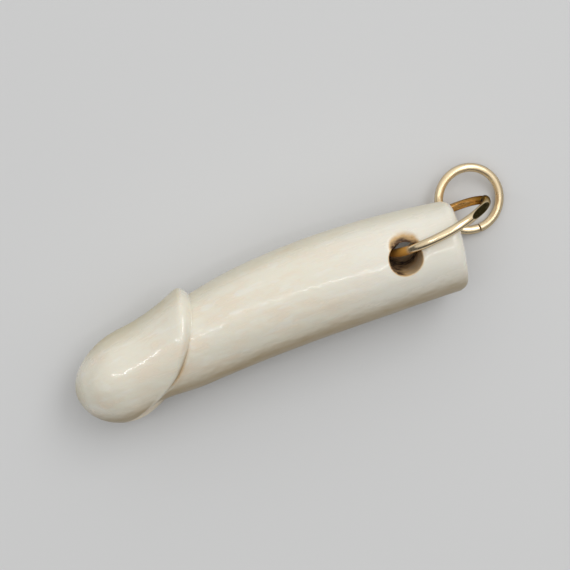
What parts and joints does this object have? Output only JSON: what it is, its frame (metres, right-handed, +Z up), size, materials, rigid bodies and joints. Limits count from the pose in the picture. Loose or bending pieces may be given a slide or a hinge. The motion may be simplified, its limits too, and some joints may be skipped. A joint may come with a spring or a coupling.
{
  "type": "bone phallic amulet",
  "caption": "Polished bone drop amulet with a rounded head and a bored end, hung by a round wire bail and a jump ring that takes a cord or chain.",
  "frame": {"origin": "middle of the whole thing's footprint, on the surface that it lies on", "axes": "+X from the rounded tip to the bored end with the rings, +Y toward the bowed back, +Z up from the surface"},
  "size_m": [0.0523, 0.0135, 0.0125],
  "materials": {
    "bone": "gloss",
    "gold_wire": "polished"
  },
  "bodies": {
    "root": {"bone_drop": "bone", "bail": "gold_wire", "jump_ring": "gold_wire"}
  },
  "joints": []
}
